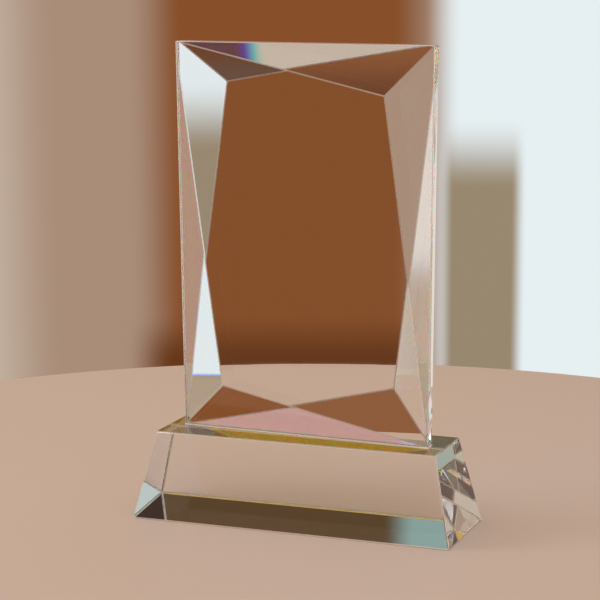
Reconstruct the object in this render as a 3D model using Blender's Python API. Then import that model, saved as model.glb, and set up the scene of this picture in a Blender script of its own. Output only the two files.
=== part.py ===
"""Crystal award: a clear plaque, faceted on both faces, bonded upright on a clear block base.

Frame: metres, +Z up, origin at the centre of the base's underside. The front face looks along -Y and
+X is the viewer's right. The award has no moving parts and no fasteners: the plaque stands on a thin
film of clear adhesive.
"""

import bpy
import bmesh

MM = 0.001

# Driving dimensions of the base, a block whose four sides slope outwards to the bottom.
BASE_FOOT = (152 * MM, 52 * MM)
BASE_TOP = (134 * MM, 36 * MM)
BASE_HEIGHT = 40 * MM
BASE_ARRIS = 0.6 * MM

# Driving dimensions of the plaque, an upright plate ground from a rectangular block.
PLAQUE_WIDTH = 120 * MM
PLAQUE_HEIGHT = 177 * MM
PLAQUE_THICKNESS = 12 * MM
PLAQUE_FRONT = -7 * MM
PLAQUE_ARRIS = 0.35 * MM

# Each face keeps a flat four-sided field that reaches two opposite corners of the plate. Towards the
# other two corners it stops short, at a field point, and long triangular facets fall away to the edge.
CORNER_DROP = 6 * MM
FRONT_TOP_RIGHT_INSET = (21 * MM, 22 * MM)
FRONT_BOTTOM_LEFT_INSET = (21.5 * MM, 20.5 * MM)
BACK_TOP_LEFT_INSET = (22 * MM, 18 * MM)
BACK_BOTTOM_RIGHT_INSET = (18.5 * MM, 23.5 * MM)

# The adhesive film, and the clearance that neighbouring solids keep from each other.
BOND_THICKNESS = 0.2 * MM
CLEARANCE = 0.3 * MM
BOND_SETBACK = 0.5 * MM

CRYSTAL_COLOUR = (0.97, 0.985, 0.99, 1.0)
ADHESIVE_COLOUR = (0.98, 0.98, 0.96, 1.0)


def clear_scene():
    for obj in list(bpy.data.objects):
        bpy.data.objects.remove(obj, do_unlink=True)


def make_material(name, colour, roughness, ior):
    material = bpy.data.materials.new(name)
    material.use_nodes = True
    shader = material.node_tree.nodes["Principled BSDF"]
    shader.inputs["Base Color"].default_value = colour
    shader.inputs["Metallic"].default_value = 0.0
    shader.inputs["Roughness"].default_value = roughness
    shader.inputs["IOR"].default_value = ior
    shader.inputs["Transmission Weight"].default_value = 1.0
    return material


def make_solid(name, corners, faces, material, arris=0.0):
    """One closed solid from named corner points; faces list the corner names round each flat face."""
    mesh = bpy.data.meshes.new(name)
    bm = bmesh.new()
    points = {key: bm.verts.new(place) for key, place in corners.items()}
    for face in faces:
        bm.faces.new([points[key] for key in face])
    bmesh.ops.recalc_face_normals(bm, faces=bm.faces)
    bm.to_mesh(mesh)
    bm.free()
    mesh.materials.append(material)
    obj = bpy.data.objects.new(name, mesh)
    bpy.context.scene.collection.objects.link(obj)
    if arris:
        bevel = obj.modifiers.new("polished_arris", "BEVEL")
        bevel.width = arris
        bevel.segments = 1
        bevel.limit_method = "NONE"
        bevel.use_clamp_overlap = True
    return obj


def rectangle_corners(level, size, z):
    half_x, half_y = size[0] / 2, size[1] / 2
    return {
        f"{level}_front_left": (-half_x, -half_y, z),
        f"{level}_front_right": (half_x, -half_y, z),
        f"{level}_back_right": (half_x, half_y, z),
        f"{level}_back_left": (-half_x, half_y, z),
    }


def make_base(material):
    corners = {
        **rectangle_corners("foot", BASE_FOOT, 0.0),
        **rectangle_corners("top", BASE_TOP, BASE_HEIGHT),
    }
    ring = ("front_left", "front_right", "back_right", "back_left")
    faces = [[f"{level}_{corner}" for corner in ring] for level in ("foot", "top")]
    for here, after in zip(ring, ring[1:] + ring[:1]):
        faces.append([f"foot_{here}", f"foot_{after}", f"top_{after}", f"top_{here}"])
    return make_solid("base_block", corners, faces, material, BASE_ARRIS)


def plaque_bottom():
    return BASE_HEIGHT + 2 * CLEARANCE + BOND_THICKNESS


def plaque_corners():
    """The plate's twelve corners. The front field keeps the top left and bottom right corners of the
    plate, and the back field keeps the other two, so the edge band twists from one face to the other."""
    left, right = -PLAQUE_WIDTH / 2, PLAQUE_WIDTH / 2
    bottom = plaque_bottom()
    top = bottom + PLAQUE_HEIGHT
    front, back = PLAQUE_FRONT, PLAQUE_FRONT + PLAQUE_THICKNESS
    return {
        "front_top_left": (left, front, top),
        "front_top_right": (right, front + CORNER_DROP, top),
        "front_bottom_right": (right, front, bottom),
        "front_bottom_left": (left, front + CORNER_DROP, bottom),
        "front_field_top_right": (
            right - FRONT_TOP_RIGHT_INSET[0],
            front,
            top - FRONT_TOP_RIGHT_INSET[1],
        ),
        "front_field_bottom_left": (
            left + FRONT_BOTTOM_LEFT_INSET[0],
            front,
            bottom + FRONT_BOTTOM_LEFT_INSET[1],
        ),
        "back_top_left": (left, back - CORNER_DROP, top),
        "back_top_right": (right, back, top),
        "back_bottom_right": (right, back - CORNER_DROP, bottom),
        "back_bottom_left": (left, back, bottom),
        "back_field_top_left": (
            left + BACK_TOP_LEFT_INSET[0],
            back,
            top - BACK_TOP_LEFT_INSET[1],
        ),
        "back_field_bottom_right": (
            right - BACK_BOTTOM_RIGHT_INSET[0],
            back,
            bottom + BACK_BOTTOM_RIGHT_INSET[1],
        ),
    }


def make_plaque(material):
    front_facets = [
        ("front_top_left", "front_field_top_right", "front_top_right"),
        ("front_top_right", "front_field_top_right", "front_bottom_right"),
        ("front_bottom_right", "front_field_bottom_left", "front_bottom_left"),
        ("front_bottom_left", "front_field_bottom_left", "front_top_left"),
    ]
    back_facets = [
        ("back_top_right", "back_field_top_left", "back_top_left"),
        ("back_top_left", "back_field_top_left", "back_bottom_left"),
        ("back_bottom_left", "back_field_bottom_right", "back_bottom_right"),
        ("back_bottom_right", "back_field_bottom_right", "back_top_right"),
    ]
    fields = [
        ("front_top_left", "front_field_bottom_left", "front_bottom_right", "front_field_top_right"),
        ("back_top_right", "back_field_bottom_right", "back_bottom_left", "back_field_top_left"),
    ]
    ring = ("top_left", "top_right", "bottom_right", "bottom_left")
    edge_band = [
        (f"front_{here}", f"front_{after}", f"back_{after}", f"back_{here}")
        for here, after in zip(ring, ring[1:] + ring[:1])
    ]
    faces = fields + front_facets + back_facets + edge_band
    return make_solid("crystal_plaque", plaque_corners(), faces, material, PLAQUE_ARRIS)


def make_bond(material):
    """The film under the plaque's lower edge, a sheared strip set in a little from every side."""
    bottom = BASE_HEIGHT + CLEARANCE
    plate = plaque_corners()
    corners = {}
    for side, inward in (("left", 1), ("right", -1)):
        for face, back_or_on in (("front", 1), ("back", -1)):
            x, y, _ = plate[f"{face}_bottom_{side}"]
            for level, z in (("lower", bottom), ("upper", bottom + BOND_THICKNESS)):
                place = (x + inward * BOND_SETBACK, y + back_or_on * BOND_SETBACK, z)
                corners[f"{level}_{face}_{side}"] = place
    ring = ("front_left", "front_right", "back_right", "back_left")
    faces = [[f"{level}_{corner}" for corner in ring] for level in ("lower", "upper")]
    for here, after in zip(ring, ring[1:] + ring[:1]):
        faces.append([f"lower_{here}", f"lower_{after}", f"upper_{after}", f"upper_{here}"])
    return make_solid("bond_film", corners, faces, material)


def main():
    clear_scene()
    crystal = make_material("optical_crystal", CRYSTAL_COLOUR, 0.02, 1.52)
    adhesive = make_material("clear_adhesive", ADHESIVE_COLOUR, 0.1, 1.5)
    make_base(crystal)
    make_plaque(crystal)
    make_bond(adhesive)


main()
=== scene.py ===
"""Looks of the crystal award: a clear plaque, faceted on both faces, bonded upright on a clear block base."""

import math

import bmesh
import bpy
from mathutils import Matrix, Vector

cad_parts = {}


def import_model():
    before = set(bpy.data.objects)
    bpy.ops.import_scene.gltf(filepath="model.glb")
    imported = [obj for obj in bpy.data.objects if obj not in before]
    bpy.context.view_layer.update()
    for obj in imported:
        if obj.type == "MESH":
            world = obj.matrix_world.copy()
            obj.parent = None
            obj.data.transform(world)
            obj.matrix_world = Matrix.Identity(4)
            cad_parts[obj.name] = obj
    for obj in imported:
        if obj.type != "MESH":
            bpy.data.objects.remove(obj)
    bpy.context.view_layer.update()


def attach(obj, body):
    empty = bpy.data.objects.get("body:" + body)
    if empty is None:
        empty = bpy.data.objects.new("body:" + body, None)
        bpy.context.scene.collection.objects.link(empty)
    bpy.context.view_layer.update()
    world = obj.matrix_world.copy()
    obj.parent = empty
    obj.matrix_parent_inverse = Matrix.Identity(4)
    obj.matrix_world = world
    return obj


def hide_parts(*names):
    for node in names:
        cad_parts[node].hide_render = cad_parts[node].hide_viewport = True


MM = 0.001

# The base: a block whose four sides slope outwards to the bottom.
BASE_FOOT = (152 * MM, 52 * MM)
BASE_TOP = (134 * MM, 36 * MM)
BASE_HEIGHT = 40 * MM
BASE_ARRIS = 0.6 * MM

# The plaque: an upright plate ground from a rectangular block.
PLAQUE_WIDTH = 120 * MM
PLAQUE_TOP = 217.8 * MM
PLAQUE_HEIGHT = 177 * MM
PLAQUE_THICKNESS = 12 * MM
PLAQUE_FRONT = -7 * MM
PLAQUE_ARRIS = 0.35 * MM
CORNER_DROP = 6 * MM
FRONT_TOP_RIGHT_INSET = (21 * MM, 22 * MM)
FRONT_BOTTOM_LEFT_INSET = (21.5 * MM, 20.5 * MM)
BACK_TOP_LEFT_INSET = (22 * MM, 18 * MM)
BACK_BOTTOM_RIGHT_INSET = (18.5 * MM, 23.5 * MM)

# The joint: the adhesive wets both pieces of crystal, so nothing shows between them but its thin edge.
# Where two clear pieces meet, their meshes stay a hair apart.
HAIR = 0.02 * MM
JOINT_FILLET = 0.3 * MM
PLAQUE_FOOT = BASE_HEIGHT + 0.24 * MM

# The faint waves that hand polishing leaves on a face: how far apart they are, and how high.
RIPPLE_PITCH = 18 * MM
RIPPLE_HEIGHT = 0.01 * MM

# The material slots of the two crystal pieces.
POLISHED, ARRIS, WETTED, FACET = range(4)

# The staging: a round floor just under the base, and a dark card on it, smaller than the base, which is painted
# shade under the base.
FLOOR_RADIUS = 350 * MM
FLOOR_LEVEL = -0.1 * MM
PAINTED_SHADE_LEVEL = -0.05 * MM
PAINTED_SHADE_SETBACK = 2 * MM

# Light crosses many faces of clear crystal before it leaves.
LIGHT_BOUNCES = 24

# The camera's place and aim, and its lens on a sensor of this width, both in millimetres.
CAMERA_TURN = math.radians(20.74)
CAMERA_RISE = math.radians(10.25)
CAMERA_ROLL = math.radians(-0.16)
CAMERA_AWAY = 1.0
CAMERA_AIM = Vector((-3.1 * MM, 0.0, 102 * MM))
CAMERA_LENS = 132.8
CAMERA_SENSOR = 36

CORNERS = ("front_left", "front_right", "back_right", "back_left")


def linear(code):
    """An sRGB hex colour as linear RGBA."""
    parts = [int(code[i : i + 2], 16) / 255 for i in (1, 3, 5)]
    return [c / 12.92 if c <= 0.04045 else ((c + 0.055) / 1.055) ** 2.4 for c in parts] + [1.0]


def add(tree, kind, links=None, inputs=None, **settings):
    """Adds one node: its settings, its input values, and the sockets that feed it."""
    node = tree.nodes.new(kind)
    for key, value in settings.items():
        setattr(node, key, value)
    for key, value in (inputs or {}).items():
        node.inputs[key].default_value = value
    for key, socket in (links or {}).items():
        tree.links.new(socket, node.inputs[key])
    return node


def new_material(name):
    material = bpy.data.materials.new(name)
    material.use_nodes = True
    material.node_tree.nodes.clear()
    return material


def crystal(name, spread=0.0, ior=1.52):
    """Optical crystal, cut from a cast block and polished by hand: colourless but for a trace of green in long
    paths, with a ripple too faint to see but where it bends an edge. Where spread is given, red light bends
    that much less than green and blue that much more: a wider split than real crystal has, so it shows."""
    material = new_material(name)
    tree = material.node_tree
    place = add(tree, "ShaderNodeTexCoord")
    waves = add(
        tree,
        "ShaderNodeTexNoise",
        {"Vector": place.outputs["Object"]},
        {"Scale": 1 / RIPPLE_PITCH, "Detail": 1.0},
    )
    ripple = add(tree, "ShaderNodeBump", {"Height": waves.outputs["Fac"]}, {"Distance": RIPPLE_HEIGHT})
    # Each lobe carries one colour and a third of the mix, so together they pass all the light.
    lobes = (("#00ff00", 0.0), ("#ff0000", -spread), ("#0000ff", spread)) if spread else (("#ffffff", 0.0),)
    surface = None
    for count, (colour, shift) in enumerate(lobes):
        lobe = add(
            tree,
            "ShaderNodeBsdfGlass",
            {"Normal": ripple.outputs[0]},
            {
                "Color": [c * len(lobes) for c in linear(colour)[:3]] + [1.0],
                "Roughness": 0.0,
                "IOR": ior + shift,
            },
        ).outputs[0]
        surface = (
            add(tree, "ShaderNodeMixShader", {1: surface, 2: lobe}, {0: 1 / (count + 1)}).outputs[0]
            if surface
            else lobe
        )
    body = add(
        tree,
        "ShaderNodeVolumeAbsorption",
        inputs={"Color": linear("#f0f6f3"), "Density": 2.0},
    )
    add(
        tree,
        "ShaderNodeOutputMaterial",
        {"Surface": surface, "Volume": body.outputs[0]},
    )
    return material


def ground_crystal():
    """An arris, broken with a fine lap and only half polished, so it scatters light and draws a pale line."""
    material = new_material("lapped_crystal_arris")
    shader = add(
        material.node_tree,
        "ShaderNodeBsdfPrincipled",
        inputs={
            "Base Color": linear("#ffffff"),
            "Roughness": 0.28,
            "IOR": 1.52,
            "Transmission Weight": 0.8,
        },
    )
    add(material.node_tree, "ShaderNodeOutputMaterial", {"Surface": shader.outputs[0]})
    return material


def cured_adhesive():
    """The bead that cures round the foot. The real one is clear. This one is mostly white, a painted highlight that
    draws a white line.
    """
    material = new_material("cured_optical_adhesive")
    shader = add(
        material.node_tree,
        "ShaderNodeBsdfPrincipled",
        inputs={
            # The white base colour is a painted highlight along the bead's edge.
            "Base Color": linear("#ffffff"),
            "Roughness": 0.35,
            "IOR": 1.5,
            "Transmission Weight": 0.2,
        },
    )
    add(material.node_tree, "ShaderNodeOutputMaterial", {"Surface": shader.outputs[0]})
    return material


def make_object(name, bm, materials):
    """Turns a finished bmesh into an object in the scene."""
    mesh = bpy.data.meshes.new(name)
    bm.to_mesh(mesh)
    bm.free()
    for material in materials:
        mesh.materials.append(material)
    obj = bpy.data.objects.new(name, mesh)
    bpy.context.scene.collection.objects.link(obj)
    return obj


def make_solid(name, corners, faces, materials, arris=0.0):
    """One closed solid from named corner points; each face is (its corners, its material slot)."""
    bm = bmesh.new()
    points = {key: bm.verts.new(place) for key, place in corners.items()}
    for ring, slot in faces:
        bm.faces.new([points[key] for key in ring]).material_index = slot
    bmesh.ops.recalc_face_normals(bm, faces=bm.faces)
    obj = make_object(name, bm, materials)
    if arris:
        bevel = obj.modifiers.new("polished_arris", "BEVEL")
        bevel.width = arris
        bevel.segments = 2
        bevel.limit_method = "ANGLE"
        bevel.angle_limit = math.radians(4)
        bevel.material = ARRIS
    return obj


def plaque_corners():
    left, right = -PLAQUE_WIDTH / 2, PLAQUE_WIDTH / 2
    top, bottom, foot = PLAQUE_TOP, PLAQUE_TOP - PLAQUE_HEIGHT, PLAQUE_FOOT
    front, back = PLAQUE_FRONT, PLAQUE_FRONT + PLAQUE_THICKNESS
    return {
        "front_top_left": (left, front, top),
        "front_top_right": (right, front + CORNER_DROP, top),
        "front_bottom_right": (right, front, foot),
        "front_bottom_left": (left, front + CORNER_DROP, foot),
        "front_field_top_right": (right - FRONT_TOP_RIGHT_INSET[0], front, top - FRONT_TOP_RIGHT_INSET[1]),
        "front_field_bottom_left": (
            left + FRONT_BOTTOM_LEFT_INSET[0],
            front,
            bottom + FRONT_BOTTOM_LEFT_INSET[1],
        ),
        "back_top_left": (left, back - CORNER_DROP, top),
        "back_top_right": (right, back, top),
        "back_bottom_right": (right, back - CORNER_DROP, foot),
        "back_bottom_left": (left, back, foot),
        "back_field_top_left": (left + BACK_TOP_LEFT_INSET[0], back, top - BACK_TOP_LEFT_INSET[1]),
        "back_field_bottom_right": (
            right - BACK_BOTTOM_RIGHT_INSET[0],
            back,
            bottom + BACK_BOTTOM_RIGHT_INSET[1],
        ),
    }


def make_plaque(materials):
    faces = [
        (("front_top_left", "front_field_bottom_left", "front_bottom_right", "front_field_top_right"), POLISHED),
        (("back_top_right", "back_field_bottom_right", "back_bottom_left", "back_field_top_left"), POLISHED),
        (("front_top_left", "front_field_top_right", "front_top_right"), FACET),
        (("front_top_right", "front_field_top_right", "front_bottom_right"), FACET),
        (("front_bottom_right", "front_field_bottom_left", "front_bottom_left"), FACET),
        (("front_bottom_left", "front_field_bottom_left", "front_top_left"), FACET),
        (("back_top_right", "back_field_top_left", "back_top_left"), POLISHED),
        (("back_top_left", "back_field_top_left", "back_bottom_left"), POLISHED),
        (("back_bottom_left", "back_field_bottom_right", "back_bottom_right"), POLISHED),
        (("back_bottom_right", "back_field_bottom_right", "back_top_right"), POLISHED),
        (("front_top_left", "front_top_right", "back_top_right", "back_top_left"), POLISHED),
        (("front_top_right", "front_bottom_right", "back_bottom_right", "back_top_right"), POLISHED),
        (("front_bottom_left", "front_top_left", "back_top_left", "back_bottom_left"), POLISHED),
        (("front_bottom_right", "front_bottom_left", "back_bottom_left", "back_bottom_right"), WETTED),
    ]
    return make_solid("plaque_crystal", plaque_corners(), faces, materials, PLAQUE_ARRIS)


def footprint(level, z, setback):
    """The plaque's bottom face, in from its edges by setback."""
    plate = plaque_corners()
    places = {}
    for corner in CORNERS:
        face, side = corner.split("_")
        x, y, _ = plate[f"{face}_bottom_{side}"]
        places[f"{level}_{corner}"] = (
            x + (setback if side == "left" else -setback),
            y + (setback if face == "front" else -setback),
            z,
        )
    return places


def rectangle(level, size, z):
    x, y = size[0] / 2, size[1] / 2
    return {
        f"{level}_front_left": (-x, -y, z),
        f"{level}_front_right": (x, -y, z),
        f"{level}_back_right": (x, y, z),
        f"{level}_back_left": (-x, y, z),
    }


def walls(lower, upper, slot):
    """The four faces between two rings of corners."""
    return [
        ([f"{lower}_{here}", f"{lower}_{after}", f"{upper}_{after}", f"{upper}_{here}"], slot)
        for here, after in zip(CORNERS, CORNERS[1:] + CORNERS[:1])
    ]


def make_base(materials):
    corners = {
        **rectangle("foot", BASE_FOOT, 0.0),
        **rectangle("top", BASE_TOP, BASE_HEIGHT),
        **footprint("seat", BASE_HEIGHT, -JOINT_FILLET),
    }
    faces = [
        ([f"foot_{corner}" for corner in CORNERS], POLISHED),
        ([f"seat_{corner}" for corner in CORNERS], WETTED),
        *walls("foot", "top", POLISHED),
        *walls("top", "seat", POLISHED),
    ]
    return make_solid("base_crystal", corners, faces, materials, BASE_ARRIS)


def make_joint(materials):
    """The cured film with the small fillet it leaves round the plaque's foot, under the plaque's own arris."""
    corners = {
        **footprint("lower", BASE_HEIGHT + HAIR, -JOINT_FILLET),
        **footprint("lip", PLAQUE_FOOT + PLAQUE_ARRIS - HAIR, HAIR),
        **footprint("upper", PLAQUE_FOOT - HAIR, PLAQUE_ARRIS + HAIR),
    }
    bead, hidden = range(2)
    faces = [
        ([f"lower_{corner}" for corner in CORNERS], hidden),
        ([f"upper_{corner}" for corner in CORNERS], hidden),
        *walls("lower", "lip", bead),
        *walls("lip", "upper", hidden),
    ]
    return make_solid("joint_adhesive", corners, faces, materials)


def board(name, colour, roughness):
    """Painted board, smooth and even, so it gives the crystal a plain tone to show."""
    material = new_material(name)
    shader = add(
        material.node_tree,
        "ShaderNodeBsdfPrincipled",
        inputs={"Base Color": linear(colour), "Roughness": roughness},
    )
    add(material.node_tree, "ShaderNodeOutputMaterial", {"Surface": shader.outputs[0]})
    return material


def make_floor():
    bm = bmesh.new()
    bmesh.ops.create_circle(
        bm,
        cap_ends=True,
        radius=FLOOR_RADIUS,
        segments=128,
        matrix=Matrix.Translation((0, 0, FLOOR_LEVEL)),
    )
    make_object("floor", bm, [board("pale_board", "#c6b4ad", 0.45)])


def make_painted_shade():
    """A dark card under the base, in from its edge: painted shade, which deepens what is seen down through the
    crystal.
    """
    corners = rectangle("card", [side - 2 * PAINTED_SHADE_SETBACK for side in BASE_FOOT], PAINTED_SHADE_LEVEL)
    bm = bmesh.new()
    bm.faces.new([bm.verts.new(corners[f"card_{corner}"]) for corner in CORNERS])
    # The card's dark colour is painted shade under the base, not a tone the floor has.
    make_object("painted_shade_under_base", bm, [board("shade_painted_board", "#4a2420", 0.8)])


def bearing(tree):
    """The way a ray leaves the scene, in degrees: round from straight behind the award as the camera sees it
    (to the right is positive), and up from the horizon."""
    way = add(tree, "ShaderNodeTexCoord")
    parts = add(tree, "ShaderNodeSeparateXYZ", {"Vector": way.outputs["Generated"]})
    round_it = add(tree, "ShaderNodeMath", {0: parts.outputs["X"], 1: parts.outputs["Y"]}, operation="ARCTAN2")
    turned = add(tree, "ShaderNodeMath", {0: round_it.outputs[0]}, {1: CAMERA_TURN}, operation="ADD")
    wrapped = add(
        tree, "ShaderNodeMath", {0: turned.outputs[0]}, {1: math.pi, 2: -math.pi}, operation="WRAP"
    )
    turn = add(tree, "ShaderNodeMath", {0: wrapped.outputs[0]}, operation="DEGREES")
    lift = add(tree, "ShaderNodeMath", {0: parts.outputs["Z"]}, operation="ARCSINE")
    rise = add(tree, "ShaderNodeMath", {0: lift.outputs[0]}, operation="DEGREES")
    return turn.outputs[0], rise.outputs[0]


def within(tree, value, low, high, soft):
    """1 between low and high, falling to 0 over soft degrees outside them."""
    middle, half = (low + high) / 2, (high - low) / 2
    off = add(tree, "ShaderNodeMath", {0: value}, {1: middle}, operation="SUBTRACT")
    away = add(tree, "ShaderNodeMath", {0: off.outputs[0]}, operation="ABSOLUTE")
    return add(
        tree,
        "ShaderNodeMapRange",
        {"Value": away.outputs[0]},
        {"From Min": half + soft, "From Max": half},
        interpolation_type="SMOOTHSTEP",
    ).outputs[0]


def panel(tree, behind, turn, rise, turns, rises, soft, colour, strength=1.0):
    """Lays one soft-edged panel of light or dark over what is behind it."""
    share = add(
        tree,
        "ShaderNodeMath",
        {0: within(tree, turn, *turns, soft[0]), 1: within(tree, rise, *rises, soft[1])},
        operation="MULTIPLY",
    )
    tone = [c * strength for c in linear(colour)[:3]] + [1.0]
    return add(
        tree,
        "ShaderNodeMix",
        {"Factor": share.outputs[0], 6: behind},
        {7: tone},
        data_type="RGBA",
    ).outputs[2]


# The tone of the studio between its panels.
ROOM_TONE = "#c6b5a5"

# The studio round the award: where each panel lies (round, then up, in degrees), how soft its edges are,
# its colour and its strength. Later ones cover earlier ones. They are laid out for the main camera: each
# lies where the crystal or the backdrop shows it from there.
PANELS = (
    ((-180, 180), (-90, -14), (0, 3), "#b5a79c", 1.0),
    ((-180, 180), (6, 90), (0, 4), "#4a2019", 1.0),
    ((-165, -110), (28, 56), (12, 8), "#d6a52e", 1.0),
    ((-14, 14), (25, 45), (5, 4), "#d6a52e", 1.0),
    ((-95, -50), (-40, 4), (12, 8), "#efe8e1", 1.0),
    ((45, 60), (-1, 16), (3, 3), "#2a1a12", 1.0),
    ((28, 44), (16, 45), (3, 4), "#bccac6", 1.0),
    ((-21, -14), (-8.4, -2), (2, 1.2), "#dfd3c9", 1.0),
    ((-21, -14), (-14, -9.8), (2, 1), "#b8a08d", 1.0),
    ((-152, -126), (-22, 4), (8, 8), "#5e463a", 1.0),
    ((1, 14), (13, 21), (1.5, 3), "#8aa5a0", 1.0),
    ((-20, 2.2), (14, 21), (0.9, 3), "#574129", 1.0),
    ((-9, 5), (8.5, 13), (3, 1.5), "#c08f10", 1.3),
    ((6, 14), (5.5, 11.5), (1.5, 1.5), "#4a1c1a", 1.0),
    ((-6, 4), (-1.5, 4), (2, 1.5), "#c39893", 1.0),
    ((-6.2, 4), (-16.5, -1.5), (2.4, 1.2), "#a98d79", 1.0),
    ((-3.0, 2.4), (-12.5, -1.5), (1.5, 1.2), "#87502a", 1.0),
    ((-3.2, 2.4), (-13.5, -11.8), (1.5, 1.3), "#66381a", 1.0),
    ((-3.2, 2.6), (-16.5, -13.4), (1.0, 0.8), "#5f4639", 1.0),
    ((-8, -2.75), (-24, -16), (0.4, 1), "#5a2a33", 1.0),
    ((4.2, 12.5), (-14, 4), (1.0, 1.0), "#e6eff1", 1.0),
    ((4.0, 5.5), (-14, -7.4), (0.4, 1.9), "#998870", 1.0),
    ((13.0, 16), (-14, 4), (3.0, 3), "#ae8b76", 1.0),
    ((17, 27), (-18, 26), (3.0, 2.5), "#e0d6c8", 1.0),
)


def make_world():
    world = bpy.data.worlds.new("studio")
    bpy.context.scene.world = world
    world.use_nodes = True
    tree = world.node_tree
    tree.nodes.clear()
    turn, rise = bearing(tree)
    tone = add(tree, "ShaderNodeRGB")
    tone.outputs[0].default_value = linear(ROOM_TONE)
    tone = tone.outputs[0]
    for turns, rises, soft, colour, strength in PANELS:
        tone = panel(tree, tone, turn, rise, turns, rises, soft, colour, strength)
    sky = add(tree, "ShaderNodeBackground", {"Color": tone}, {"Strength": 1.0})
    add(tree, "ShaderNodeOutputWorld", {"Surface": sky.outputs[0]})


def make_light(name, place, aim, size, power):
    light = bpy.data.lights.new(name, "AREA")
    light.shape = "RECTANGLE"
    light.size, light.size_y = size
    light.energy = power
    obj = bpy.data.objects.new(name, light)
    obj.location = place
    obj.rotation_euler = (Vector(aim) - Vector(place)).to_track_quat("-Z", "Y").to_euler()
    bpy.context.scene.collection.objects.link(obj)


def make_camera():
    turn, rise, roll = CAMERA_TURN, CAMERA_RISE, CAMERA_ROLL
    right = Vector((math.cos(turn), math.sin(turn), 0.0))
    ahead = Vector((-math.sin(turn) * math.cos(rise), math.cos(turn) * math.cos(rise), -math.sin(rise)))
    up = right.cross(ahead)
    right, up = (
        math.cos(roll) * right + math.sin(roll) * up,
        -math.sin(roll) * right + math.cos(roll) * up,
    )
    camera = bpy.data.objects.new("camera", bpy.data.cameras.new("camera"))
    camera.data.lens = CAMERA_LENS
    camera.data.sensor_width = CAMERA_SENSOR
    camera.matrix_world = Matrix.Translation(CAMERA_AIM - CAMERA_AWAY * ahead) @ Matrix(
        (right, up, -ahead)
    ).transposed().to_4x4()
    bpy.context.scene.collection.objects.link(camera)
    bpy.context.scene.camera = camera


def main():
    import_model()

    polished = crystal("polished_optical_crystal")
    facet = crystal("cut_crystal_facet", spread=0.016)
    arris = ground_crystal()
    wetted = crystal("index_matched_joint_face", ior=1.0)
    adhesive = cured_adhesive()

    plaque = make_plaque([polished, arris, wetted, facet])
    base = make_base([polished, arris, wetted])
    joint = make_joint([adhesive, wetted])
    for piece, node, slot in (
        (plaque, "crystal_plaque", "optical_crystal"),
        (base, "base_block", "optical_crystal"),
        (joint, "bond_film", "clear_adhesive"),
    ):
        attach(piece, "root")
        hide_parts(node)

    make_floor()
    make_painted_shade()
    make_world()
    make_light("overhead_softbox", (-0.05, -0.15, 1.6), (0, 0, 0.1), (0.7, 0.6), 9)
    make_light("fill_softbox", (-1.1, -0.4, 0.9), (0, 0, 0.05), (0.6, 0.6), 4)
    make_camera()
    scene = bpy.context.scene
    scene.view_settings.view_transform = "Standard"
    scene.cycles.max_bounces = LIGHT_BOUNCES
    scene.cycles.glossy_bounces = LIGHT_BOUNCES
    scene.cycles.transmission_bounces = LIGHT_BOUNCES


main()
